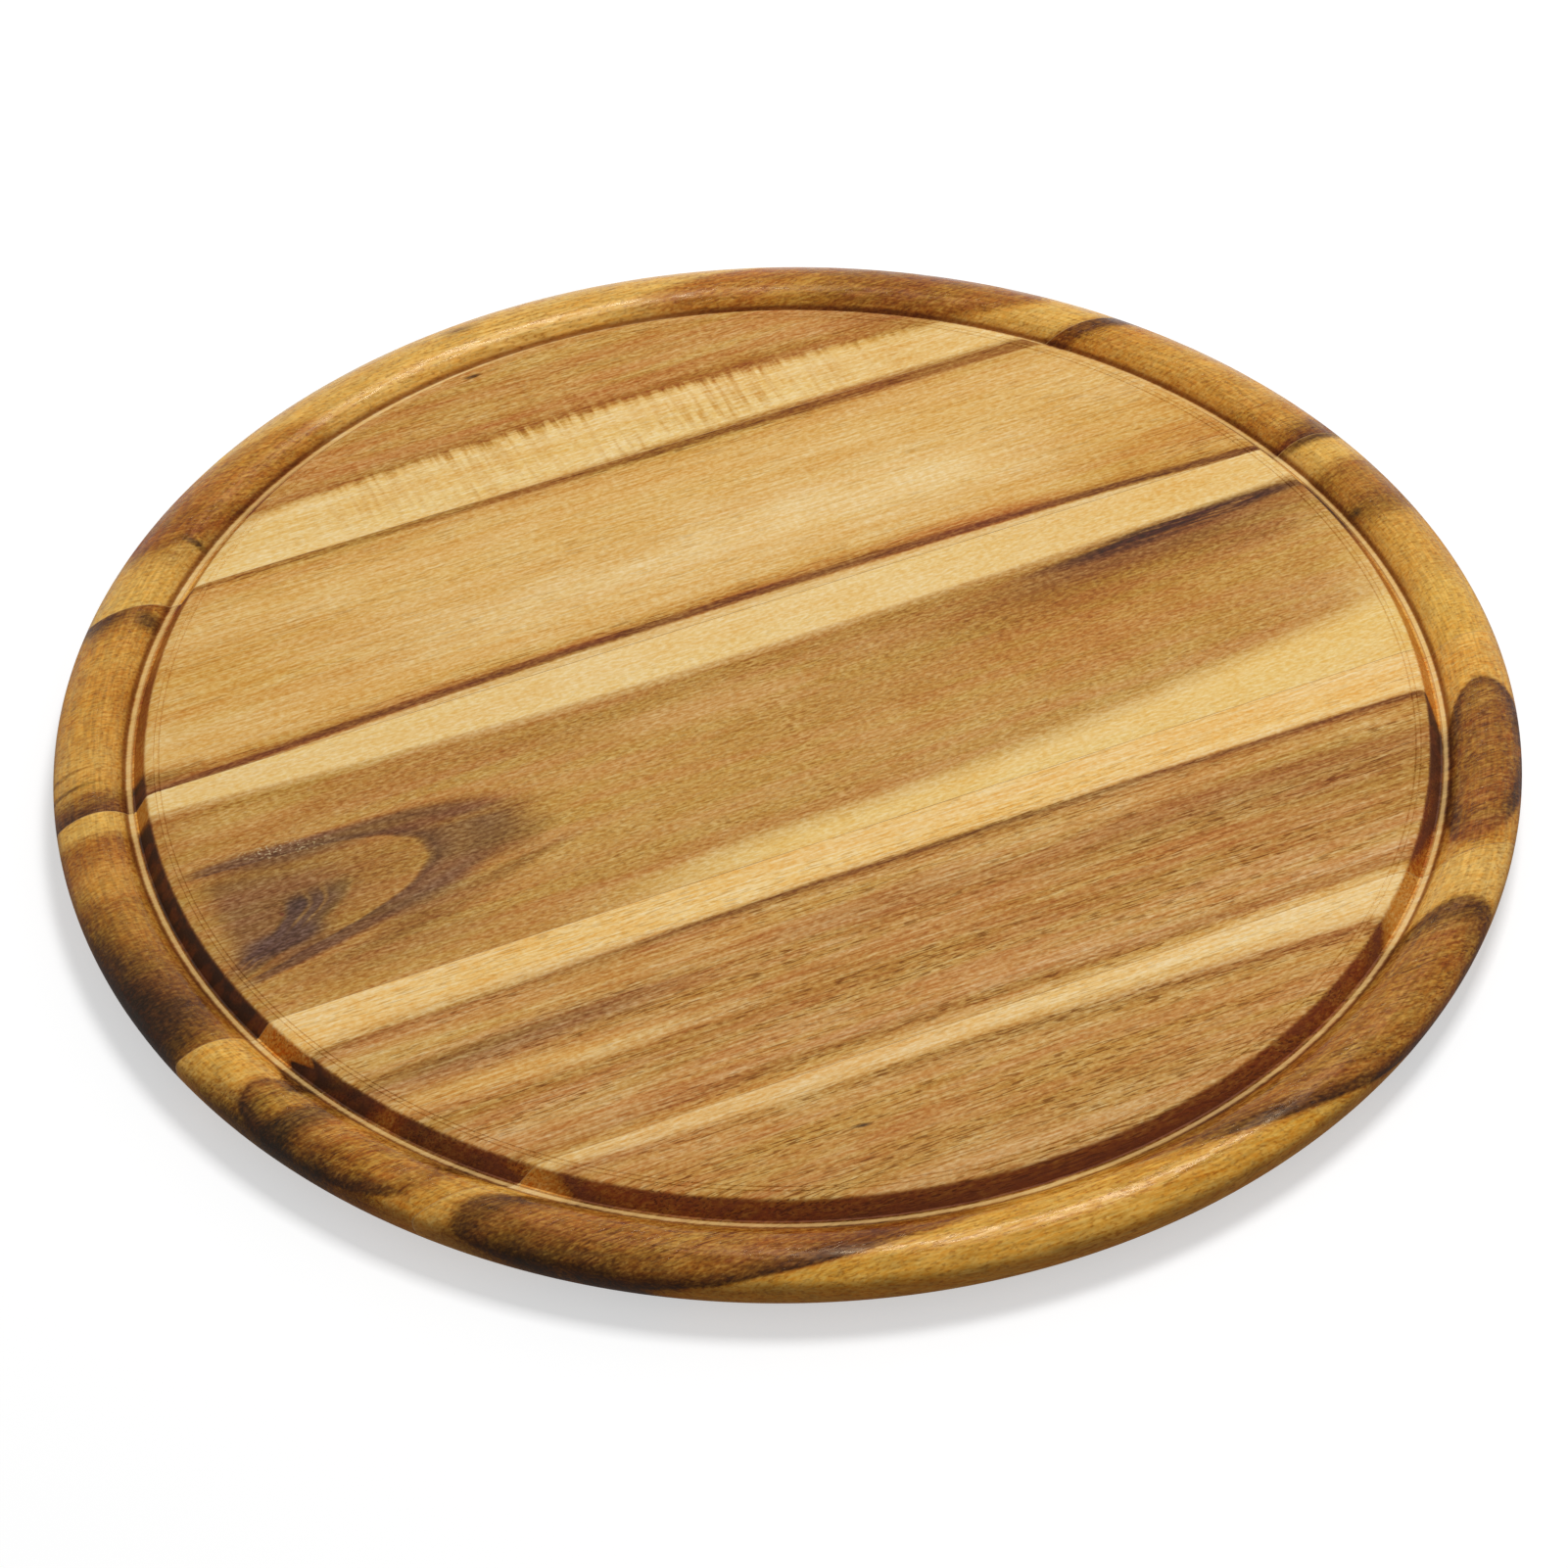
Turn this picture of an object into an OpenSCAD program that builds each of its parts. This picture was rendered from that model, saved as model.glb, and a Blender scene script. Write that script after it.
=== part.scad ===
// Round pizza serving board of edge-glued staves, with a juice groove and a rounded rim.
// The origin is at the centre of the underside. +Z is up and the staves run along X.

/* [Board] */
// Diameter over the rounded rim
board_d = 320; // [280:1:380]
// Thickness from the underside to the serving face
board_h = 15; // [13:0.5:20]

/* [Rim] */
// Width of the rounded rim, from its foot in the groove to the outside
rim_w = 15.7; // [14:0.1:22]
// Distance from the outside of the rim in to its crest
crest_in = 8; // [6:0.5:10]
// How far the crest lies below the serving face
crest_drop = 0.5; // [0:0.1:1.5]
// Height of the crest above the widest point of the edge
nose_h = 4.4; // [3.6:0.1:6]
// Radius of the outer shoulder, from the widest point up towards the crest
nose_r = 2.6; // [2:0.1:3.4]

/* [Juice groove] */
// Depth of the groove's floor below the serving face
groove_depth = 4; // [3:0.1:6]
// Width of the groove's flat floor
floor_w = 1.9; // [1.5:0.1:5]
// How far the groove's wall leans outwards from its top edge to its foot
wall_run = 2.6; // [0.5:0.1:3.5]
// Distance of the cutter line on the floor from the foot of the wall
quirk_in = 0.6; // [0.4:0.1:1]
// Width of the cutter line on the floor
quirk_w = 0.4; // [0.2:0.1:0.7]
// Depth of the cutter line on the floor
quirk_depth = 0.3; // [0.1:0.1:0.6]

/* [Serving face] */
// Width of the eased strip around the serving face
ease_w = 1.9; // [1:0.1:5]
// How far the eased strip drops from the serving face to the groove
ease_drop = 0.3; // [0.2:0.1:1.2]
// Width of each of the two fine lines scribed where the eased strip begins
scribe_w = 0.4; // [0.2:0.1:0.8]
// Depth of the scribed lines
scribe_depth = 0.15; // [0.1:0.05:0.5]
// Distance between the two scribed lines
scribe_gap = 1.1; // [1:0.1:2]

/* [Staves] */
// Distance of the middle stave's back edge behind the centre of the board
middle_back = 35.3; // [25:0.1:45]
// Width of the middle stave
middle_w = 73.8; // [60:0.1:90]
// Width of the stave behind the middle one
back_inner_w = 58.7; // [45:0.1:75]
// Width of the stave in front of the middle one
front_inner_w = 59.5; // [45:0.1:75]
// Thickness of the glue film in each joint
glue_t = 0.15; // [0.1:0.05:0.4]

/* [Hidden] */

// Facets of a full turn of the board, and of a full circle in its section
turn_facets = 240;
section_facets = 96;
// How far a cut runs past the surface that it opens
overrun = 1;

board_r = board_d / 2;

// The rim: crest, widest point and foot
crest_r = board_r - crest_in;
crest_z = board_h - crest_drop;
edge_z = crest_z - nose_h;
foot_r = board_r - rim_w;

// The groove, from the rim inwards, and the serving face inside it
floor_z = board_h - groove_depth;
wall_foot_r = foot_r - floor_w;
face_r = wall_foot_r - wall_run;
ease_r = face_r - ease_w;
ease_z = board_h - ease_drop;
quirk_r = wall_foot_r + quirk_in;

// The under edge is one quarter round, from the flat underside out to the widest point
under_r = edge_z;
under_start_r = board_r - under_r;

// The crest arc is level at the crest and runs smoothly into the outer shoulder
nose_run = crest_in - nose_r;
crest_arc_r = (pow(nose_run, 2) + pow(nose_h, 2) - pow(nose_r, 2)) / (2 * (nose_h - nose_r));
nose_c = [board_r - nose_r, edge_z];
crest_c = [crest_r, crest_z - crest_arc_r];
shoulder_dir = (nose_c - crest_c) / (crest_arc_r - nose_r);

// The inner arc is level at the crest and ends at the foot of the rim
bead_run = rim_w - crest_in;
bead_rise = crest_z - floor_z;
bead_arc_r = (pow(bead_run, 2) + pow(bead_rise, 2)) / (2 * bead_rise);
bead_c = [crest_r, crest_z - bead_arc_r];

// Front and back edge of every piece across the staves, from the back of the board to the front
back_glue = [middle_back, middle_back + glue_t];
back_inner = [back_glue[1], back_glue[1] + back_inner_w];
back_edge_glue = [back_inner[1], back_inner[1] + glue_t];
back_edge = [back_edge_glue[1], board_r + overrun];
middle = [middle_back - middle_w, middle_back];
front_glue = [middle[0] - glue_t, middle[0]];
front_inner = [front_glue[0] - front_inner_w, front_glue[0]];
front_edge_glue = [front_inner[0] - glue_t, front_inner[0]];
front_edge = [-board_r - overrun, front_edge_glue[0]];

// A full circle of the section
module section_circle(centre, r) {
    translate(centre) circle(r, $fn = section_facets);
}

// A fine V cut, w wide and depth deep, in a level surface at height z
module v_cut(r, z, w, depth) {
    polygon([
        [r - w / 2, z + overrun], [r - w / 2, z], [r, z - depth], [r + w / 2, z], [r + w / 2, z + overrun],
    ]);
}

// Everything below the widest point: a slab with a quarter-round under edge
module lower_section() {
    square([under_start_r, edge_z]);
    intersection() {
        section_circle([under_start_r, under_r], under_r);
        translate([under_start_r, -overrun]) square([under_r + overrun, edge_z + overrun]);
    }
}

// The outside of the rim above the widest point: the crest arc, then the shoulder
module upper_rim_section() {
    reach = crest_arc_r + nose_r;
    shoulder_end = nose_c + reach * shoulder_dir;
    intersection() {
        section_circle(crest_c, crest_arc_r);
        polygon([[crest_r, edge_z], nose_c, shoulder_end, [crest_r, edge_z + reach]]);
    }
    intersection() {
        section_circle(nose_c, nose_r);
        polygon([nose_c, nose_c + [reach, 0], nose_c + [reach, reach], shoulder_end]);
    }
}

// What the cutter takes out between the groove's wall and the inner side of the rim
module groove_cut() {
    difference() {
        polygon([
            [face_r, ease_z], [wall_foot_r, floor_z], [crest_r, floor_z],
            [crest_r, board_h + overrun], [face_r, board_h + overrun],
        ]);
        section_circle(bead_c, bead_arc_r);
    }
}

// Half of the board's cross-section, from its axis to the outside of the rim
module board_section() {
    difference() {
        union() {
            lower_section();
            translate([0, edge_z]) square([crest_r, board_h - edge_z]);
            upper_rim_section();
        }
        groove_cut();
        v_cut(quirk_r, floor_z, quirk_w, quirk_depth);
        polygon([
            [ease_r, board_h], [face_r, ease_z], [face_r, board_h + overrun], [ease_r, board_h + overrun],
        ]);
        v_cut(ease_r, board_h, scribe_w, scribe_depth);
        v_cut(ease_r - scribe_gap, board_h, scribe_w, scribe_depth);
    }
}

// The part of the turned board that lies between two edges across the staves
module board_slice(edges) {
    intersection() {
        rotate_extrude($fn = turn_facets) board_section();
        translate([-board_r - overrun, edges[0], -overrun])
            cube([board_d + 2 * overrun, edges[1] - edges[0], board_h + 2 * overrun]);
    }
}

module back_edge_stave() { color("#C4934E") board_slice(back_edge); }
module back_inner_stave() { color("#D0A35C") board_slice(back_inner); }
module middle_stave() { color("#AD7F48") board_slice(middle); }
module front_inner_stave() { color("#B98B4E") board_slice(front_inner); }
module front_edge_stave() { color("#BF8F50") board_slice(front_edge); }

module back_glue_line() { color("#6E4724") board_slice(back_edge_glue); }
module back_middle_glue_line() { color("#6E4724") board_slice(back_glue); }
module front_middle_glue_line() { color("#6E4724") board_slice(front_glue); }
module front_glue_line() { color("#6E4724") board_slice(front_edge_glue); }

back_edge_stave();
back_inner_stave();
middle_stave();
front_inner_stave();
front_edge_stave();
back_glue_line();
back_middle_glue_line();
front_middle_glue_line();
front_glue_line();
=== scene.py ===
import math
import bpy
from mathutils import Matrix, Vector


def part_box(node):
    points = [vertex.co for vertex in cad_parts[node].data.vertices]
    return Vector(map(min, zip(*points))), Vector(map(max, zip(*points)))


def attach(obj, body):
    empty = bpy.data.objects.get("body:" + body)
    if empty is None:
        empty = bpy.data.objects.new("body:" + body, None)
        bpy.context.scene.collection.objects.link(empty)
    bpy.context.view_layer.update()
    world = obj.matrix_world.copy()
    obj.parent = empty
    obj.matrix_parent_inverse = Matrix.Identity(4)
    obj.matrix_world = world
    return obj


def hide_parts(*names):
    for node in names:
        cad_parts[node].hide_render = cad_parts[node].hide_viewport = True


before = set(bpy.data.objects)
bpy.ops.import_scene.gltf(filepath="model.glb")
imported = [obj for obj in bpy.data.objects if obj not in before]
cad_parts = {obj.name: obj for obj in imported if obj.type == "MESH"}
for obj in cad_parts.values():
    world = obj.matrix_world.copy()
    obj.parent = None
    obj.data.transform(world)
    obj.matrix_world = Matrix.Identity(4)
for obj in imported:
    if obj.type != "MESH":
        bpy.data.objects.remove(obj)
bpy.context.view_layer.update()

# The turned panel
# The staves are glued edge to edge into one panel, which is turned on a lathe to a single profile:
# flat face, eased strip, juice groove, rounded rim and swept-up under edge. Every stave and glue
# film below is a slice of this one shape, so the turned lines run across the joints unbroken.
# Sizes are in millimetres and the CAD's own, but for lip_r, which eases the lip that the CAD leaves sharp.
MM = 0.001
board_r = 160.0
board_h = 15.0
rim_w = 15.7
crest_in = 8.0
crest_drop = 0.5
nose_h = 4.4
nose_r = 2.6
groove_depth = 4.0
floor_w = 1.9
wall_run = 2.6
ease_w = 1.9
ease_drop = 0.3
scribe_w = 0.4
scribe_depth = 0.15
scribe_gap = 1.1
quirk_in = 0.6
quirk_w = 0.4
quirk_depth = 0.3
lip_r = 1.2

crest_r = board_r - crest_in
crest_z = board_h - crest_drop
edge_z = crest_z - nose_h
floor_z = board_h - groove_depth
foot_r = board_r - rim_w
wall_foot_r = foot_r - floor_w
face_r = wall_foot_r - wall_run
ease_r = face_r - ease_w
ease_z = board_h - ease_drop
quirk_r = wall_foot_r + quirk_in

tip = [0.0, board_h]


def straight_to(r, z):
    """Draws the profile on in a straight line, to radius r and height z."""
    step = ((r - tip[0]) * MM, 0, (z - tip[1]) * MM)
    bpy.ops.mesh.extrude_region_move(TRANSFORM_OT_translate={"value": step})
    tip[:] = r, z


def round_to(r, z, centre_r, centre_z, steps):
    """Draws the profile on along an arc, clockwise about its centre, to radius r and height z."""
    start = math.atan2(tip[0] - centre_r, tip[1] - centre_z)
    turn = (math.atan2(r - centre_r, z - centre_z) - start) % math.tau
    bpy.ops.mesh.spin(steps=steps, angle=turn, center=(centre_r * MM, 0, centre_z * MM), axis=(0, -1, 0))
    tip[:] = r, z


bpy.ops.object.select_all(action="DESELECT")
bpy.ops.mesh.primitive_plane_add(size=board_h * MM)
panel = bpy.context.object
panel.name = "turned_panel"
bpy.ops.object.mode_set(mode="EDIT")
bpy.ops.mesh.select_all(action="SELECT")
bpy.ops.mesh.merge(type="CENTER")
bpy.ops.transform.translate(value=(0, 0, board_h * MM))

scribe_r = ease_r - scribe_gap
straight_to(scribe_r - scribe_w / 2, board_h)
straight_to(scribe_r, board_h - scribe_depth)
straight_to(scribe_r + scribe_w / 2, board_h)
straight_to(ease_r - scribe_w / 2, board_h)
straight_to(ease_r, board_h - scribe_depth)
straight_to(ease_r + scribe_w / 2, board_h - ease_drop * scribe_w / 2 / ease_w)
lip = Vector((face_r, ease_z))
outward = (lip - Vector((ease_r, board_h))).normalized()
downward = (Vector((wall_foot_r, floor_z)) - lip).normalized()
worn_back = lip_r * math.tan(outward.angle(downward) / 2)
lip_centre = lip - outward * worn_back + Vector((outward.y, -outward.x)) * lip_r
straight_to(*(lip - outward * worn_back))
round_to(*(lip + downward * worn_back), *lip_centre, steps=6)
straight_to(wall_foot_r, floor_z)
straight_to(quirk_r - quirk_w / 2, floor_z)
straight_to(quirk_r, floor_z - quirk_depth)
straight_to(quirk_r + quirk_w / 2, floor_z)
straight_to(foot_r, floor_z)
bead_rise = crest_z - floor_z
bead_arc_r = ((rim_w - crest_in) ** 2 + bead_rise ** 2) / (2 * bead_rise)
round_to(crest_r, crest_z, crest_r, crest_z - bead_arc_r, steps=14)
nose_run = crest_in - nose_r
crest_arc_r = (nose_run ** 2 + nose_h ** 2 - nose_r ** 2) / (2 * (nose_h - nose_r))
shoulder = Vector((nose_run, crest_arc_r - nose_h)).normalized() * nose_r
round_to(board_r - nose_r + shoulder.x, edge_z + shoulder.y, crest_r, crest_z - crest_arc_r, steps=10)
round_to(board_r, edge_z, board_r - nose_r, edge_z, steps=8)
round_to(board_r - edge_z, 0, board_r - edge_z, edge_z, steps=16)
straight_to(0, 0)

bpy.ops.mesh.select_all(action="SELECT")
bpy.ops.mesh.spin(steps=360, angle=math.tau, center=(0, 0, 0), axis=(0, 0, 1))
bpy.ops.mesh.select_all(action="SELECT")
bpy.ops.mesh.remove_doubles(threshold=0.01 * MM)
bpy.ops.mesh.normals_make_consistent(inside=False)
bpy.ops.object.mode_set(mode="OBJECT")

# How far the open cut of an edge stave runs past the rim
overrun = 1 * MM


def turned_slice(name, front, back):
    """The slice of the turned panel between two cuts across the staves, as a piece of its own."""
    bpy.ops.object.select_all(action="DESELECT")
    piece = panel.copy()
    piece.data = panel.data.copy()
    piece.name = name
    bpy.context.collection.objects.link(piece)
    piece.select_set(True)
    bpy.context.view_layer.objects.active = piece
    bpy.ops.object.mode_set(mode="EDIT")
    bpy.ops.mesh.select_mode(type="VERT")
    for y, sawn in ((back, {"clear_outer": True}), (front, {"clear_inner": True})):
        bpy.ops.mesh.select_all(action="SELECT")
        bpy.ops.mesh.bisect(plane_co=(0, y, 0), plane_no=(0, 1, 0), use_fill=True, **sawn)
    bpy.ops.mesh.select_all(action="SELECT")
    bpy.ops.mesh.normals_make_consistent(inside=False)
    bpy.ops.object.mode_set(mode="OBJECT")
    bpy.ops.object.shade_smooth_by_angle(angle=math.radians(28))
    return piece


# The back edge stave
# The outermost stave at the back, of plantation acacia: a brown heart on its far side and a strip
# of pale sapwood along the joint, where curl makes bars across the grain. Sanded, then oiled.
def linear(code):
    """A colour written as sRGB hex, as the linear colour that a shader takes."""
    parts = [int(code[i:i + 2], 16) / 255 for i in (1, 3, 5)]
    return [p / 12.92 if p <= 0.04045 else ((p + 0.055) / 1.055) ** 2.4 for p in parts] + [1.0]


def add(tree, kind, feeds, **settings):
    """Adds a shader node. A feed is a number, a colour, a node or one of a node's outputs."""
    node = tree.nodes.new("ShaderNode" + kind)
    for name, value in settings.items():
        setattr(node, name, value)
    sockets = [s for s in node.inputs if s.enabled]
    for name, value in feeds.items():
        socket = sockets[name] if isinstance(name, int) else next(s for s in sockets if s.name == name)
        if isinstance(value, bpy.types.Node):
            value = next(s for s in value.outputs if s.enabled)
        if isinstance(value, bpy.types.NodeSocket):
            tree.links.new(value, socket)
        else:
            socket.default_value = value
    return node


def fade(tree, value, start, end, first=0.0, last=1.0):
    """A soft edge: passes smoothly from first to last while the value runs from start to end."""
    return add(tree, "MapRange", {"Value": value, 1: start, 2: end, 3: first, 4: last},
               interpolation_type="SMOOTHSTEP")


def vary(tree, noise, least, most):
    """Spreads a noise, most of which lies between 0.3 and 0.7, from least to most."""
    return fade(tree, noise, 0.3, 0.7, least, most)


def overlap(tree, *masks):
    """Where all of the masks lie, each as strong as it is there."""
    shared = masks[0]
    for mask in masks[1:]:
        shared = add(tree, "Math", {0: shared, 1: mask}, operation="MULTIPLY")
    return shared


def stain(tree, wood, mask, colour, blend="MIX"):
    """Lays a hex colour, or a node's colour, over the wood where the mask is."""
    colour = linear(colour) if isinstance(colour, str) else colour
    return add(tree, "Mix", {"Factor": mask, "A": wood, "B": colour}, data_type="RGBA", blend_type=blend)


def grain(tree, mm, along, across, detail=2.0):
    """A noise drawn out along the stave, with blotches of that length and width in millimetres."""
    drawn = add(tree, "Mapping", {"Vector": mm, "Scale": (1 / along, 1 / across, 1 / across)})
    return add(tree, "TexNoise", {"Vector": drawn, "Scale": 1.0, "Detail": detail})


def ring_place(tree, mm, heart_y, slope, bow, dip, wobble):
    """How far a point's growth ring lies from the heart's line, in millimetres across the face.

    The heart's line crosses the face at heart_y, and slopes and bows along the stave. The heart
    narrows below the face, by the amount that dip gives, and stops narrowing halfway down."""
    x, y, z = add(tree, "SeparateXYZ", {0: mm}).outputs
    line = add(tree, "Math", {0: x, 1: slope, 2: heart_y + wobble / 2}, operation="MULTIPLY_ADD")
    line = add(tree, "Math", {0: overlap(tree, x, x), 1: bow, 2: line}, operation="MULTIPLY_ADD")
    offset = add(tree, "Math", {0: y, 1: line}, operation="SUBTRACT")
    wander = grain(tree, mm, 110, 12, 3.0)
    offset = add(tree, "Math", {0: wander, 1: wobble, 2: offset}, operation="MULTIPLY_ADD")
    depth = add(tree, "MapRange", {"Value": z, 1: board_h / 2, 2: board_h, 3: board_h / 2, 4: 0.0})
    reach = add(tree, "Math", {0: depth, 1: dip, 2: overlap(tree, offset, offset)}, operation="MULTIPLY_ADD")
    reach = add(tree, "Math", {0: reach}, operation="SQRT")
    side = add(tree, "MapRange", {"Value": offset, 1: -1.5, 2: 1.5, 3: -1.0, 4: 1.0})
    return overlap(tree, reach, side)


def ring_colours(tree, ring, bands):
    """Colours laid over the growth rings: bands gives each colour's place."""
    low, high = bands[0][0], bands[-1][0]
    share = add(tree, "MapRange", {"Value": ring, 1: float(low), 2: float(high)})
    ramp = add(tree, "ValToRGB", {"Fac": share})
    stops = ramp.color_ramp.elements
    while len(stops) < len(bands):
        stops.new(1.0)
    for stop, (place, code) in zip(stops, bands):
        stop.position = (place - low) / (high - low)
        stop.color = linear(code)
    return ramp


def ragged(tree, mm, along, across, amount):
    """Places shifted a little by a slow noise, so that an edge laid on them runs raggedly."""
    noise = grain(tree, mm, along, across, 3.0)
    shift = add(tree, "VectorMath", {0: noise.outputs["Color"], 1: (0.5, 0.5, 0.5)}, operation="SUBTRACT")
    shift = add(tree, "VectorMath", {0: shift, 1: amount}, operation="MULTIPLY")
    return add(tree, "VectorMath", {0: mm, 1: shift}, operation="ADD")


def spot(tree, mm, centre, reach, amount, turn=0.0, soft=0.8):
    """A soft-edged oval mask, by its centre and how far it reaches along, across and down."""
    place = add(tree, "Mapping", {
        "Vector": mm, "Location": centre, "Rotation": (0, 0, math.radians(turn)), "Scale": reach},
        vector_type="TEXTURE")
    out = add(tree, "VectorMath", {0: place}, operation="LENGTH").outputs["Value"]
    return fade(tree, out, 1.0, 1.0 - soft, 0.0, amount)


def patch(tree, wood, mm, centre, reach, amount, colour, turn=0.0, soft=0.8):
    """Lays a hex colour over the wood in a soft-edged oval."""
    return stain(tree, wood, spot(tree, mm, centre, reach, amount, turn, soft), colour)


def from_axis(tree, mm):
    """How far a point lies from the axis that the panel was turned about."""
    flat = add(tree, "VectorMath", {0: mm, 1: (1, 1, 0)}, operation="MULTIPLY")
    return add(tree, "VectorMath", {0: flat}, operation="LENGTH").outputs["Value"]


def oiled_acacia(name, figure, pore_length, pores, streak, fleck):
    """Sanded and oiled acacia in the figure of its stave. The eye sees growth streaks, open pores as
    fine dark dashes along the grain and as dots on the turned rim, and a satin sheen. The rim, turned
    across the grain, takes more oil and is deeper and more golden than the face."""
    material = bpy.data.materials.new(name)
    material.use_nodes = True
    tree = material.node_tree
    tree.nodes.clear()
    place = add(tree, "TexCoord", {}).outputs["Object"]
    mm = add(tree, "VectorMath", {0: place, "Scale": 1 / MM}, operation="SCALE")
    wood = figure(tree, mm)

    # Oil warms all of the wood, and deepens the heartwood most.
    sapwood = 0.55
    heartwood = 0.10
    paleness = add(tree, "RGBToBW", {0: wood})
    deep = fade(tree, paleness, sapwood, heartwood)
    oil = fade(tree, paleness, sapwood, heartwood, 0.15, 1.0)
    wood = stain(tree, wood, oil, "#FFF6BE", "MULTIPLY")

    # Growth streaks, broad and fine, over a slow mottle, and the nap that sanding leaves. Wood that is
    # darker is also richer in colour, as a gamma makes it. The heart's hue wanders from rosy to yellow.
    broad = vary(tree, grain(tree, mm, 90, 1.8), 1 - streak, 1 + streak)
    fine = vary(tree, grain(tree, mm, 3 * pore_length, 0.6), 0.94 - streak, 1.06 + streak)
    mottle = vary(tree, grain(tree, mm, 16, 9), 0.93, 1.07)
    nap = vary(tree, grain(tree, mm, 1.5, 0.6), 0.79, 1.24)
    wood = add(tree, "Gamma", {"Color": wood, "Gamma": overlap(tree, broad, fine, mottle, nap)})
    hue = vary(tree, grain(tree, mm, 45, 4), 0.491, 0.507)
    in_heart = fade(tree, deep, 0.0, 0.5, 0.2, 1.0)
    hue = add(tree, "Mix", {"Factor": in_heart, "A": 0.5, "B": hue}, data_type="FLOAT")
    wood = add(tree, "HueSaturation", {"Hue": hue, "Color": wood})

    # Pores stand in drifts. They are drawn 0.35 mm wide, a little coarser than they are, to show.
    # Flecks are where wavy heartwood dips under the surface.
    pore = fade(tree, grain(tree, mm, pore_length, 0.35, 0.0), 0.58, 0.67)
    drift = fade(tree, grain(tree, mm, 60, 4.0), 0.35, 0.65, 0.3 * pores, pores)
    pore = overlap(tree, pore, drift, fade(tree, deep, 0.0, 0.5, 0.4, 1.0))
    wood = stain(tree, wood, pore, "#AE9062", "MULTIPLY")
    flecks = fade(tree, grain(tree, mm, 1.7, 0.6, 1.0), 0.50, 0.66, 0.0, fleck)
    wood = stain(tree, wood, overlap(tree, flecks, deep), "#C2A67E", "MULTIPLY")

    # The rim: golden with oil, with painted shade darkening it under its outer edge, and deeper where it
    # cuts end grain.
    radius = from_axis(tree, mm)
    where = add(tree, "SeparateXYZ", {0: mm}).outputs
    along, height = where["X"], where["Z"]
    on_rim = overlap(tree, fade(tree, radius, foot_r - 0.2, foot_r + 0.4), fade(tree, height, 0.0, 3.0))
    wood = stain(tree, wood, on_rim, "#F0DCA4", "MULTIPLY")
    open_pores = fade(tree, grain(tree, mm, 1.4, 0.6, 1.0), 0.53, 0.69, 0.0, 0.45)
    wood = stain(tree, wood, overlap(tree, open_pores, on_rim), "#A8824E", "MULTIPLY")
    # Painted shade: the rim is darkened down its outer side towards the under edge.
    painted_under_shade = overlap(tree, on_rim, fade(tree, height, crest_z - 1.5, edge_z - 1.0, 0.0, 0.65))
    wood = stain(tree, wood, painted_under_shade, "#9A7048", "MULTIPLY")
    facing = add(tree, "SeparateXYZ", {0: add(tree, "NewGeometry", {}).outputs["Normal"]})
    endwise = add(tree, "Math", {0: facing.outputs["X"]}, operation="ABSOLUTE")
    wood = stain(tree, wood, fade(tree, endwise, 0.1, 0.95, 0.0, 0.3), "#C69A5E", "MULTIPLY")

    # The groove's wall is darkened, partly as the cutter's burnish and partly as painted shade in the
    # recess: sapwood goes golden there and heartwood dark red-brown, and nearly black towards the ends
    # of the grain, partly scorch and partly painted shade. The groove's floor is painted pale, as painted
    # light on its lit ledge, and painted shadow darkens the corner at the rim's foot.
    topside = fade(tree, height, floor_z - 1.0, floor_z - 0.6)
    in_groove = overlap(tree, fade(tree, radius, face_r - 0.3, face_r + 0.5), topside)
    wall = overlap(tree, in_groove, fade(tree, radius, quirk_r - 0.3, quirk_r - 0.1, 1.0, 0.0))
    painted_floor_light = overlap(tree, in_groove, fade(tree, radius, quirk_r - 0.1, quirk_r + 0.1),
                     fade(tree, radius, foot_r - 0.5, foot_r - 0.2, 0.55, 0.0))
    painted_foot_shadow = overlap(tree, topside, fade(tree, radius, foot_r - 0.4, foot_r),
                     fade(tree, radius, foot_r + 0.4, foot_r + 1.2, 0.75, 0.0))
    # Painted shade with burnish: the wall's colour is multiplied by itself, then darkened to red-brown and
    # near black.
    wood = stain(tree, wood, wall, wood, "MULTIPLY")
    wood = stain(tree, wood, overlap(tree, wall, deep, 0.85), "#743C24")
    scorch_and_shade = fade(tree, add(tree, "Math", {0: along}, operation="ABSOLUTE"), 95.0, 138.0, 0.0, 0.9)
    uneven = fade(tree, grain(tree, mm, 30, 3), 0.38, 0.6, 0.55, 1.0)
    wood = stain(tree, wood, overlap(tree, wall, fade(tree, deep, 0.0, 0.5), scorch_and_shade, uneven), "#1C0E0A")
    # Painted light: the groove's floor is painted pale cream.
    wood = stain(tree, wood, painted_floor_light, "#DDB878")
    # Painted shadow: a darker ring in the corner at the rim's foot.
    wood = stain(tree, wood, painted_foot_shadow, "#9A6A3C", "MULTIPLY")

    # Lathe marks on the rim: short scores along the turn, which break its highlights into flecks.
    # They are drawn 0.6 mm wide, about twice as coarse as they are, and about 6 mm long.
    score_w = 0.6
    score_l = 6.0
    rings = add(tree, "CombineXYZ", {"Z": overlap(tree, radius, 1 / score_w)})
    broken = add(tree, "VectorMath", {0: mm, 1: (1 / score_l, 1 / score_l, 1 / 2)}, operation="MULTIPLY")
    turned = add(tree, "VectorMath", {0: rings, 1: broken}, operation="ADD")
    marks = add(tree, "TexNoise", {"Vector": turned, "Scale": 1.0, "Detail": 3.0})
    # The marks lighten and darken the rim's colour in streaks, partly the wood's tone and partly painted
    # highlight flecks.
    lathe_tone_and_glint = vary(tree, marks, 0.86, 1.16)
    lathe_tone_and_glint = add(tree, "Mix", {"Factor": on_rim, "A": 1.0, "B": lathe_tone_and_glint}, data_type="FLOAT")
    wood = add(tree, "VectorMath", {0: wood, "Scale": lathe_tone_and_glint}, operation="SCALE")

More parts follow.
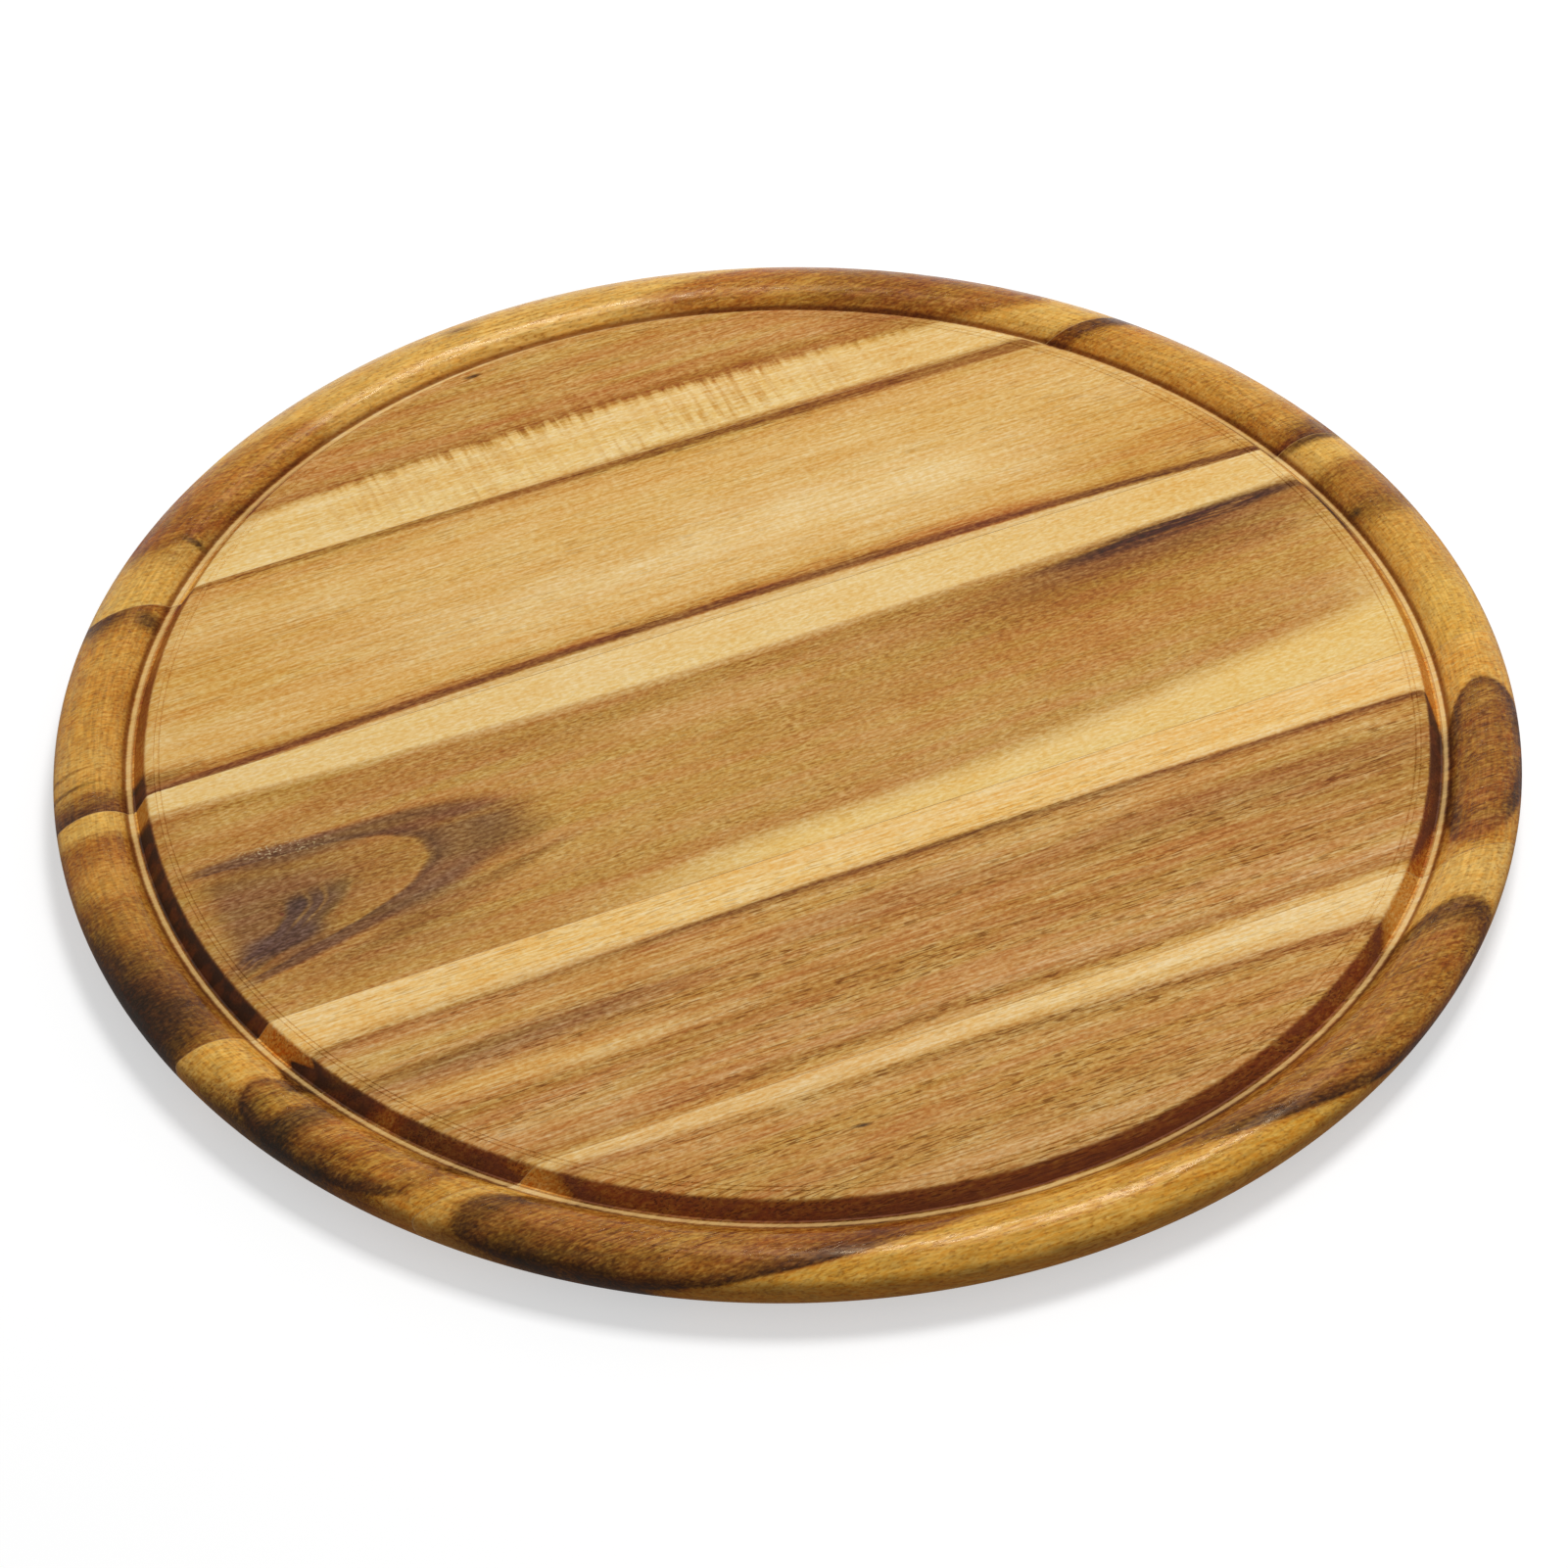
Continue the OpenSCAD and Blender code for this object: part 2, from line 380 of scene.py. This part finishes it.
    # The face is sanded matt. The rim is burnished smoother on the lathe, but not its under side.
    matt = fade(tree, pore, 0.0, 0.6, 0.50, 0.66)
    burnished = fade(tree, marks, 0.35, 0.65, 0.10, 0.42)
    under_side = fade(tree, height, crest_z - 1.0, edge_z)
    burnished = add(tree, "Mix", {"Factor": under_side, "A": burnished, "B": 0.75}, data_type="FLOAT")
    sheen = add(tree, "Mix", {"Factor": on_rim, "A": matt, "B": burnished}, data_type="FLOAT")
    ridges = overlap(tree, marks, on_rim, 0.6)
    relief = add(tree, "Math", {0: ridges, 1: pore}, operation="SUBTRACT")
    bump = add(tree, "Bump", {"Height": relief, "Strength": 0.4, "Distance": 0.12 * MM})
    shader = add(tree, "BsdfPrincipled", {
        "Base Color": wood, "Roughness": sheen, "Normal": bump, "IOR": 1.45, "Specular IOR Level": 0.25,
        "Specular Tint": linear("#FFE4BE")})
    add(tree, "OutputMaterial", {"Surface": shader})
    return material


def back_edge_figure(tree, mm):
    # Curl: bars 1 to 3 mm wide across the grain, which also fray the edge of the heart.
    across = add(tree, "Mapping", {
        "Vector": mm, "Scale": (1 / 1.6, 1 / 18, 1 / 18), "Rotation": (0, 0, 0.05)})
    bars = fade(tree, add(tree, "TexNoise", {"Vector": across, "Scale": 1.0, "Detail": 3.0}), 0.38, 0.68)
    curly = spot(tree, mm, (8, 106, 15), (105, 19, 30), 1.0, soft=0.6)
    bars = overlap(tree, bars, curly, fade(tree, grain(tree, mm, 20, 14), 0.35, 0.6, 0.35, 1.0))
    near = ring_place(tree, mm, 131.0, -0.015, -0.0005, 40.0, 3.0)
    near = add(tree, "Math", {0: bars, 1: 1.8, 2: near}, operation="MULTIPLY_ADD")
    wood = ring_colours(tree, near, [
        (-38, "#E4B970"), (-33, "#ECCB8A"), (-26, "#E8C37E"), (-20, "#ECCA8A"), (-18.6, "#DFB56E"),
        (-16.6, "#AE783C"), (-14, "#C08C50"), (-8, "#C79555"), (-2, "#C08C4D"), (6, "#CA9A57"),
        (20, "#B67F40")])
    wood = stain(tree, wood, overlap(tree, bars, 0.65), "#DEC08C", "MULTIPLY")
    wood = patch(tree, wood, mm, (80, 103, 15), (38, 13, 30), 0.4, "#DEB064")

    # Towards the back the rim comes out into golden sapwood. To both sides of it the heart is dark.
    far = ring_place(tree, mm, 131.0, 0.09, 0.0, 40.0, 3.0)
    wood = patch(tree, wood, mm, (88, 128, 13), (36, 26, 20), 0.65, "#8E5C2E")
    wood = patch(tree, wood, mm, (-103, 117, 13), (28, 18, 20), 0.65, "#96622E")
    wood = stain(tree, wood, fade(tree, far, 12.0, 15.5, 0.0, 0.9), "#EECC8C")
    rough = ragged(tree, mm, 12, 3, (5, 1.4, 1.4))
    wood = patch(tree, wood, rough, (-19, 135.7, 15), (3, 1, 4), 0.9, "#54361C")
    wood = patch(tree, wood, rough, (-16, 154, 13.5), (7, 2.6, 5), 0.5, "#8E6C50")
    wood = patch(tree, wood, rough, (-97.5, 110, 13.5), (1.6, 4.6, 6), 0.85, "#4E321C", 42.0)
    edge = ragged(tree, mm, 40, 6, (20, 1.2, 1.2))
    return patch(tree, wood, edge, (60, 94, 15), (110, 2.6, 30), 0.8, "#A66C32")


def dress(piece, node, material):
    """Puts a finished slice in place of its CAD node."""
    piece.data.materials.clear()
    piece.data.materials.append(material)
    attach(piece, "root")
    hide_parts(node)


low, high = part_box("back_edge_stave")
stave = turned_slice("oiled_back_edge_stave", low.y, high.y + overrun)
acacia = oiled_acacia("oiled_acacia_back_edge", back_edge_figure,
                      pore_length=3.0, pores=0.45, streak=0.10, fleck=0.45)
dress(stave, "back_edge_stave", acacia)


# The back inner stave
# The second stave, the most even of the five: honey-coloured wood with fine straight pores, a dark
# edge along its back joint, and a dark line of growth that bows along its front joint over pale wood.
def back_inner_figure(tree, mm):
    line = ring_place(tree, mm, 39.4, 0.004, -0.00022, 0.0, 1.6)
    wood = ring_colours(tree, line, [
        (-5, "#EACB8E"), (-1.4, "#DDB678"), (-0.7, "#B07A44"), (-0.1, "#7C4824"), (0.7, "#8A5228"),
        (1.4, "#B67E44"), (2.8, "#C8934F"), (5, "#D8AA62"), (9, "#DFB46E"), (18, "#E4BE7E"),
        (27, "#DEB36E"), (38, "#DFB56F"), (46, "#DCAF68"), (52, "#D1A15A")])
    wood = patch(tree, wood, mm, (45, 60, 15), (75, 12, 30), 0.75, "#EAC88A")
    wood = patch(tree, wood, mm, (122, 47, 12), (48, 11, 20), 0.8, "#C08A42")
    wood = patch(tree, wood, mm, (112, 56, 15), (44, 20, 30), 0.65, "#D29E50")
    wood = patch(tree, wood, mm, (-24, 49.5, 15), (50, 9, 30), 0.6, "#E4BC7A")
    wood = patch(tree, wood, mm, (-102, 57, 15), (64, 13, 30), 0.7, "#D09C4C")
    wood = patch(tree, wood, mm, (-110, 70, 12), (60, 10, 30), 0.6, "#CE994C")
    wood = patch(tree, wood, mm, (152, 38, 13), (16, 7, 20), 0.65, "#6E4622")

    # At the left end the dark line opens into a band, with fine stripes behind it in the rim.
    wood = patch(tree, wood, mm, (-158, 38, 13), (52, 7, 30), 0.75, "#6E4634")
    wood = patch(tree, wood, mm, (-154, 36.4, 13), (18, 3.4, 30), 0.75, "#452A22")
    wood = patch(tree, wood, mm, (-152, 44.6, 12), (14, 1.1, 12), 0.75, "#6E4424")
    wood = patch(tree, wood, mm, (-152, 49.6, 12), (14, 0.9, 12), 0.6, "#7E522A")
    seam = ring_place(tree, mm, 93.1, -0.009, 0.0, 0.0, 1.0)
    rightward = fade(tree, add(tree, "SeparateXYZ", {0: mm}).outputs["X"], -100.0, 40.0, 0.6, 0.9)
    wood = stain(tree, wood, overlap(tree, fade(tree, seam, -2.6, -0.2), rightward), "#8C5322")
    wood = patch(tree, wood, mm, (-126, 93, 13), (12, 6, 8), 0.85, "#4E3018")
    wood = patch(tree, wood, mm, (-116, 90, 13), (5, 4, 6), 0.85, "#3E2412")
    return patch(tree, wood, mm, (126, 93, 13), (16, 5, 8), 0.7, "#54351E")


low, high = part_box("back_inner_stave")
stave = turned_slice("oiled_back_inner_stave", low.y, high.y)
acacia = oiled_acacia("oiled_acacia_back_inner", back_inner_figure,
                      pore_length=6.0, pores=0.75, streak=0.08, fleck=0.2)
dress(stave, "back_inner_stave", acacia)


# The middle stave
# The widest stave, cut near the heart: brown and flecked, with a knot by the groove, a purple-black
# streak at the other end and pale sapwood along both joints.
def middle_figure(tree, mm):
    x = add(tree, "SeparateXYZ", {0: mm}).outputs["X"]
    heart = ring_place(tree, mm, -6.0, 0.01, 0.0, 20.0, 8.0)
    wood = ring_colours(tree, heart, [
        (-34, "#C69858"), (-24, "#BF9052"), (-14, "#C6985A"), (-4, "#C59756"), (6, "#C59654"),
        (14, "#C39556"), (22, "#B8884C"), (30, "#B68648")])
    wood = patch(tree, wood, mm, (20, 0, 14), (64, 12, 14), 0.35, "#AC7A40")
    wood = patch(tree, wood, mm, (76, 11, 14), (60, 13, 14), 0.75, "#9C662A")
    wood = patch(tree, wood, mm, (82, -4, 14), (58, 20, 18), 0.5, "#B67E3A")
    wood = patch(tree, wood, mm, (152, -16, 13), (30, 36, 24), 0.85, "#E6BE76")

    # Pale sapwood along the back joint, and along the front joint to the right of the knot.
    back = ring_place(tree, mm, 21.8, -0.016, 0.0002, 0.0, 4.0)
    wood = stain(tree, wood, fade(tree, back, -1.4, 2.0), "#EAC888")
    wood = patch(tree, wood, mm, (100, 30, 15), (50, 9, 30), 0.6, "#E4B768")
    front = ring_place(tree, mm, -33.0, 0.03, 0.0004, 0.0, 4.0)
    rightward = fade(tree, x, -75.0, -10.0)
    wood = stain(tree, wood, overlap(tree, fade(tree, front, 5.0, -3.0), rightward), "#EAC67E")

    # The heart's edge is uneven: brown and pale by turns at the back, and brown below the knot.
    wood = patch(tree, wood, mm, (52, 18.5, 15), (50, 5.5, 30), 0.55, "#B4854A")
    wood = patch(tree, wood, mm, (-120, 20, 15), (24, 7, 30), 0.5, "#D4AA6A")
    wood = patch(tree, wood, mm, (-14, 10, 15), (36, 9, 30), 0.55, "#D2A868")
    wood = patch(tree, wood, mm, (-106, -29, 15), (38, 8, 30), 0.5, "#A0724A")

    # The purple-black streak under the back sapwood, with brown below it, and the dark spot that the
    # heart leaves in the rim beyond it.
    rough = ragged(tree, mm, 30, 4, (16, 2.2, 2.2))
    lines = fade(tree, grain(tree, mm, 24, 0.9), 0.36, 0.52, 0.25, 1.0)
    wood = patch(tree, wood, rough, (98, 16.5, 15), (56, 6.5, 12), 0.8, "#845432", 2.0)
    wood = patch(tree, wood, rough, (120, 11, 15), (20, 7, 12), 0.6, "#9C6A3C")
    streak = spot(tree, rough, (106, 20.2, 15), (52, 3.5, 8), 1.0, 2.6, 0.65)
    wood = stain(tree, wood, overlap(tree, streak, lines), "#3A1414")
    wood = patch(tree, wood, mm, (152, 9, 12), (14, 8, 12), 0.75, "#8A5A2C")
    wood = patch(tree, wood, mm, (145.5, 9, 14), (2.6, 1.8, 5), 0.9, "#3E2616")

    # The knot: the grain parts round a branch in nested tongues, which open to the left. Outermost is
    # a dark surround, then the branch's own paler wood.
    bent = ragged(tree, mm, 14, 6, (3.2, 1.8, 0))
    where = add(tree, "SeparateXYZ", {0: bent}).outputs
    x, y = where["X"], where["Y"]
    axis = add(tree, "Math", {0: x, 1: 0.1, 2: 4.0}, operation="MULTIPLY_ADD")
    aside = add(tree, "Math", {0: y, 1: axis}, operation="SUBTRACT")
    beside = overlap(tree, aside, aside)
    tongue = add(tree, "Math", {0: beside, 1: 0.095, 2: x}, operation="MULTIPLY_ADD")
    bluff = overlap(tree, beside, beside, 0.00034)
    tongue = add(tree, "Math", {0: tongue, 1: bluff})
    inside = fade(tree, x, -138.0, -130.0, 0.2, 1.0)
    bands = ring_colours(tree, tongue, [
        (-135, "#825A44"), (-112, "#8A6044"), (-100, "#A67846"), (-87, "#B4864E"), (-85.6, "#7C563E"),
        (-84, "#66443A"), (-82, "#7A5444"), (-78, "#8A6248"), (-72, "#7E5848"), (-67, "#845A42"),
        (-61, "#A87040"), (-52, "#C29250")])
    wood = stain(tree, wood, overlap(tree, fade(tree, tongue, -50.0, -69.0, 0.0, 0.95), inside), bands)

    # Dark tails of the surround run off along the grain, above it, below it and past its tip.
    wood = patch(tree, wood, bent, (-115, 6.2, 15), (26, 4.8, 30), 0.75, "#704E4A", -5.0)
    wood = patch(tree, wood, bent, (-118, -22.6, 15), (20, 3.4, 30), 0.7, "#70504A", 9.0)
    wood = patch(tree, wood, bent, (-95, -24.5, 15), (30, 3.6, 30), 0.7, "#94683E", 9.0)
    wood = patch(tree, wood, bent, (-74, -18, 15), (28, 2.6, 30), 0.7, "#92653C", 12.0)
    wood = patch(tree, wood, bent, (-92, -18, 15), (20, 5.4, 30), 0.75, "#745246", 14.0)
    wood = patch(tree, wood, bent, (-69, -9.5, 15), (16, 7, 30), 0.65, "#86603F", 10.0)
    wood = patch(tree, wood, bent, (-70, 0, 15), (22, 1.8, 30), 0.6, "#9E6A38", -3.0)

    # Rings hook round the knot's eye from a dark tail below it, and painted glints make bright specks above.
    hook = add(tree, "Math", {0: beside, 1: 1 / 8.0, 2: x}, operation="MULTIPLY_ADD")
    hooks = ring_colours(tree, hook, [
        (-121, "#98703F"), (-118.4, "#4E3640"), (-115.6, "#584048"), (-114.6, "#9A7858"),
        (-113.4, "#5E464C"), (-111.4, "#62484A"), (-110.6, "#947250"), (-109.4, "#6C5048"),
        (-106, "#7A5C3E"), (-103, "#A87E48")])
    below = overlap(tree, fade(tree, aside, 3.0, -2.0, 0.0, 0.9), fade(tree, hook, -121.0, -119.5),
                    fade(tree, hook, -103.0, -105.0), inside)
    wood = stain(tree, wood, below, hooks)
    tail = overlap(tree, spot(tree, bent, (-124, -18, 15), (14, 4.6, 30), 0.9, 4.0, 0.6), inside)
    wood = stain(tree, wood, tail, "#5A3E48")
    wood = patch(tree, wood, bent, (-117.6, -9.4, 15), (4.6, 3, 30), 0.9, "#4A343C", 20.0)
    wood = patch(tree, wood, mm, (-121.2, -10.7, 15), (0.9, 0.9, 30), 0.9, "#662C20")
    # Painted highlight: pale glints in specks above the knot's eye.
    painted_glints = fade(tree, grain(tree, mm, 0.7, 0.6, 0.0), 0.60, 0.70)
    painted_glints = overlap(tree, painted_glints, spot(tree, mm, (-114, 7.6, 15), (14, 3, 3), 0.7, -8.0, 0.7))
    wood = stain(tree, wood, painted_glints, "#CBB89E")

    # Towards the left end the rim turns down through the darkest of the heart, with painted shade that
    # deepens its outer side to near black.
    uneven = ragged(tree, mm, 12, 5, (6, 4, 4))
    wood = patch(tree, wood, uneven, (-152, 15, 13), (18, 10, 18), 0.7, "#DDB274")
    wood = patch(tree, wood, uneven, (-156, -23, 13), (22, 22, 18), 0.75, "#5E3B2A")
    wood = patch(tree, wood, uneven, (-156, -31, 12), (16, 14, 14), 0.7, "#3A2420")
    wood = patch(tree, wood, mm, (148, 34.8, 13), (14, 2.6, 16), 0.85, "#54301A")
    # Painted shade over the dark heart: a near-black band down the rim's outer side at the left end.
    return patch(tree, wood, uneven, (-162, -21, 10), (14.5, 46, 18), 0.97, "#240A0C", soft=0.72)


low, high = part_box("middle_stave")
stave = turned_slice("oiled_middle_stave", low.y, high.y)
acacia = oiled_acacia("oiled_acacia_middle", middle_figure,
                      pore_length=1.6, pores=0.4, streak=0.05, fleck=0.6)
dress(stave, "middle_stave", acacia)


# The front inner stave
# The fourth stave: a pale strip of sapwood along its back joint, then a sharp dark line and brown
# heart in light and dark stripes, which pales again towards its front joint.
def front_inner_figure(tree, mm):
    where = add(tree, "SeparateXYZ", {0: mm}).outputs
    x, z = where["X"], where["Z"]
    radius = from_axis(tree, mm)
    heart = ring_place(tree, mm, -72.0, 0.0, -0.0001, 100.0, 2.4)

    # At the left the heart runs straight down through the groove to the rim.
    cut = overlap(tree, fade(tree, z, board_h - 0.5, floor_z), fade(tree, radius, crest_r + 1, crest_r - 2),
                  fade(tree, x, 20.0, -20.0))
    heart = overlap(tree, heart, fade(tree, cut, 0.0, 1.0, 1.0, 0.74))

    wood = ring_colours(tree, heart, [
        (-27, "#DCAE68"), (-24, "#C89858"), (-22.5, "#B07D46"), (-20, "#C08E56"), (-17, "#CC9C60"),
        (-12, "#C18F54"), (-6, "#B9874C"), (0, "#C19052"), (5, "#BE8C52"), (11, "#C4945A"),
        (15, "#CC9E5C"), (18.5, "#CA9C5C"), (20.8, "#B88650"), (22.1, "#8A5C32"), (22.6, "#906234"),
        (23.4, "#DEB06C"), (25, "#EEC47C"), (34, "#EEC682")])

    # Light and dark stripes, which fray along the grain
    stripes = ragged(tree, mm, 50, 5, (30, 1.6, 1.6))
    wood = patch(tree, wood, stripes, (-90, -64.6, 14), (56, 5.0, 12), 0.8, "#946A4A", 1.0)
    wood = patch(tree, wood, stripes, (-92, -73.4, 14), (62, 5.0, 12), 0.95, "#DEB06C", -1.0)
    wood = patch(tree, wood, stripes, (84, -63, 14), (84, 9, 16), 0.6, "#9E6E3E")
    wood = patch(tree, wood, stripes, (85, -98, 14), (70, 3.4, 30), 0.85, "#E2B670")
    wood = patch(tree, wood, stripes, (-94, -51, 15), (66, 5.6, 30), 0.6, "#CC9E62")
    wood = patch(tree, wood, stripes, (0, -60, 14), (42, 7, 30), 0.45, "#A67646")
    wood = patch(tree, wood, stripes, (106, -70, 14), (40, 8, 30), 0.45, "#A4743F")
    wood = patch(tree, wood, stripes, (-94, -90, 14), (36, 14, 30), 0.5, "#D0A268")

    # Where the rim cuts through the ends of the heart, its outline is broad and dark, darker down the outer
    # slope as painted shade and fainter at the crest as painted sheen. At the left it is darkest, below
    # golden wood by the joint, where painted shade deepens the rim's outer side to near black.
    end = fade(tree, radius, foot_r - 6.0, foot_r + 4.0)
    out = add(tree, "Math", {0: heart}, operation="ABSOLUTE")
    core = overlap(tree, fade(tree, out, 23.0, 19.0), end, fade(tree, x, 0.0, 100.0, 0.0, 0.45))
    wood = stain(tree, wood, core, "#865638")
    slope_shade_and_sheen = fade(tree, z, crest_z - 0.2, crest_z - 2.0, 0.15, 0.85)
    outline = overlap(tree, fade(tree, out, 13.0, 20.5), fade(tree, out, 24.2, 22.0), end, slope_shade_and_sheen)
    wood = stain(tree, wood, outline, "#4A2C28")
    wood = patch(tree, wood, mm, (-135, -57, 12), (6, 2.6, 8), 0.8, "#4A2C28")
    wood = patch(tree, wood, mm, (-118, -95.5, 13), (16, 4.2, 14), 0.7, "#DCAE62")
    wood = patch(tree, wood, mm, (-149, -45, 12), (18, 7, 16), 0.95, "#F0CA82")
    uneven = ragged(tree, mm, 12, 5, (6, 3, 3))
    wood = patch(tree, wood, uneven, (-143, -66, 13), (22, 4.8, 14), 0.75, "#442828")
    # Painted shade over the dark heart: a near-black band down the rim's outer side at the left end.
    return patch(tree, wood, uneven, (-148.5, -69, 9), (15, 46, 18), 0.95, "#1C0A10", 25.0)


low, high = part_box("front_inner_stave")
stave = turned_slice("oiled_front_inner_stave", low.y, high.y)
acacia = oiled_acacia("oiled_acacia_front_inner", front_inner_figure,
                      pore_length=4.0, pores=0.9, streak=0.14, fleck=0.4)
dress(stave, "front_inner_stave", acacia)


# The front edge stave
# The outermost stave at the front: brown heart with fine dark dashes, a pale wedge along its joint,
# and golden sapwood where the rim is turned down through it.
def front_edge_figure(tree, mm):
    heart = ring_place(tree, mm, -126.0, -0.04, 0.0, 57.0, 2.6)
    wood = ring_colours(tree, heart, [
        (-34, "#E6BC6E"), (-24.5, "#E4B866"), (-22, "#BC8A4A"), (-15, "#BE8E56"), (-8, "#CA9C5E"),
        (-2, "#BC894E"), (5, "#C08D4E"), (12, "#C49354"), (17, "#CEA062"), (20.5, "#B07E4A"),
        (22.5, "#DFB674"), (25, "#EECA8C"), (34, "#EDC98A")])
    wood = patch(tree, wood, mm, (-45, -99.6, 15), (62, 6.5, 30), 0.85, "#E6BC7C", soft=0.6)

    # A dark line parts heart from sapwood in the rim, and dies out towards the crest at the front, which
    # lies 8 mm left of the middle.
    rough = ragged(tree, mm, 30, 6, (16, 3, 3))
    x = add(tree, "SeparateXYZ", {0: mm}).outputs["X"]
    aside = add(tree, "Math", {0: add(tree, "Math", {0: x, 1: 8.0})}, operation="ABSOLUTE")
    line = overlap(tree, fade(tree, heart, -16.0, -21.5), fade(tree, heart, -23.4, -22.2),
                   fade(tree, aside, 26.0, 50.0, 0.25, 0.95))
    wood = stain(tree, wood, line, "#4A2E18")
    end = fade(tree, from_axis(tree, mm), foot_r - 4.0, foot_r + 4.0)
    core = overlap(tree, fade(tree, heart, -23.0, -20.0), fade(tree, heart, 22.0, 19.0), end, 0.3)
    wood = stain(tree, wood, core, "#865638")
    outline = overlap(tree, fade(tree, heart, 12.0, 19.5), fade(tree, heart, 22.6, 20.8), end, 0.65)
    wood = stain(tree, wood, outline, "#4A2C1E")
    wood = patch(tree, wood, rough, (-36, -116, 15), (3.2, 0.9, 4), 0.9, "#4A3020", -6.0)
    # Painted shade over the dark heart: a near-black band down the rim's outer side towards the left end.
    uneven = ragged(tree, mm, 12, 5, (6, 3, 3))
    return patch(tree, wood, uneven, (-107.5, -124, 9), (13.5, 44, 17), 0.9, "#1C0A10", 49.0)


low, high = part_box("front_edge_stave")
stave = turned_slice("oiled_front_edge_stave", low.y - overrun, high.y)
acacia = oiled_acacia("oiled_acacia_front_edge", front_edge_figure,
                      pore_length=4.0, pores=0.9, streak=0.12, fleck=0.45)
dress(stave, "front_edge_stave", acacia)


# The glue lines
# Thin films of wood glue, squeezed out in clamping and sanded flush. Cured glue is amber and takes
# up dust and oil, so a joint shows as a fine line that comes and goes along the stave.
cured_glue = bpy.data.materials.new("cured_wood_glue")
cured_glue.use_nodes = True
tree = cured_glue.node_tree
tree.nodes.clear()
place = add(tree, "TexCoord", {}).outputs["Object"]
mm = add(tree, "VectorMath", {0: place, "Scale": 1 / MM}, operation="SCALE")
amber = ring_colours(tree, grain(tree, mm, 25, 3, 3.0), [(0.3, "#8A6236"), (0.7, "#C79A5B")])
shader = add(tree, "BsdfPrincipled", {
    "Base Color": amber, "Roughness": 0.45, "IOR": 1.45, "Specular IOR Level": 0.25})
add(tree, "OutputMaterial", {"Surface": shader})

for joint in ("back", "back_middle", "front_middle", "front"):
    low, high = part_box(joint + "_glue_line")
    film = turned_slice("cured_" + joint + "_glue_line", low.y, high.y)
    dress(film, joint + "_glue_line", cured_glue)

bpy.data.objects.remove(panel)


# The stage
# As in a studio: a plain pale floor, which the camera sees as white, also far off where less light
# falls, and which keeps the board's soft shadow, an even white surround, and one large softbox above
# and behind to the right.
def looked_at(tree):
    """1 where the eye looks, straight on, by a mirror or through glass, and 0 for scattered light."""
    seen = add(tree, "LightPath", {}).outputs
    direct = add(tree, "Math", {0: seen["Is Camera Ray"], 1: seen["Is Glossy Ray"]}, operation="MAXIMUM")
    return add(tree, "Math", {0: direct, 1: seen["Is Transmission Ray"]}, operation="MAXIMUM")


# The floor lies a little below the board, clear of its underside.
floor_gap = 0.1 * MM
bpy.ops.object.select_all(action="DESELECT")
bpy.ops.mesh.primitive_plane_add(size=6.0, location=(0, 0, -floor_gap))
floor = bpy.context.object
floor.name = "studio_floor"
paper = bpy.data.materials.new("pale_paper")
paper.use_nodes = True
tree = paper.node_tree
tree.nodes.clear()
direct = looked_at(tree)
matte = add(tree, "BsdfDiffuse", {"Color": linear("#C8C8C8")})
away = add(tree, "VectorMath", {0: add(tree, "TexCoord", {}).outputs["Object"]}, operation="LENGTH")
glow = overlap(tree, direct, fade(tree, away.outputs["Value"], 0.2, 2.0, 0.52, 0.82))
white = add(tree, "Emission", {"Color": linear("#FFFFFF"), "Strength": glow})
add(tree, "OutputMaterial", {"Surface": add(tree, "AddShader", {0: matte, 1: white})})
floor.data.materials.append(paper)

world = bpy.data.worlds.new("white_surround")
bpy.context.scene.world = world
world.use_nodes = True
tree = world.node_tree
tree.nodes.clear()
level = add(tree, "MapRange", {"Value": looked_at(tree), 3: 0.32, 4: 1.0})
surround = add(tree, "Background", {"Color": linear("#FFFFFF"), "Strength": level})
add(tree, "OutputWorld", {"Surface": surround})

softbox = bpy.data.lights.new("softbox", "AREA")
softbox.shape = "SQUARE"
softbox.size = 0.5
softbox.energy = 19.0
softbox_stand = bpy.data.objects.new("softbox", softbox)
bpy.context.collection.objects.link(softbox_stand)
softbox_stand.location = (0.48, 0.375, 1.59)
softbox_stand.rotation_euler = (-softbox_stand.location).to_track_quat("-Z", "Y").to_euler()

# The camera stands in front of the board at the photograph's viewing angle.
view_turn = math.radians(23.45)
view_rise = math.radians(44.27)
view_roll = math.radians(-0.98)
view_far = 1.1704
aim = Vector((-9.2, -19.2, board_h)) * MM
camera = bpy.data.objects.new("camera", bpy.data.cameras.new("camera"))
bpy.context.collection.objects.link(camera)
camera.data.sensor_width = 36.0
camera.data.lens = 124.73
turn = (Matrix.Rotation(-view_turn, 4, "Z") @ Matrix.Rotation(math.pi / 2 - view_rise, 4, "X")
        @ Matrix.Rotation(view_roll, 4, "Z"))
camera.matrix_world = Matrix.Translation(aim) @ turn @ Matrix.Translation((0, 0, view_far))
bpy.context.scene.camera = camera
bpy.context.scene.view_settings.view_transform = "Standard"
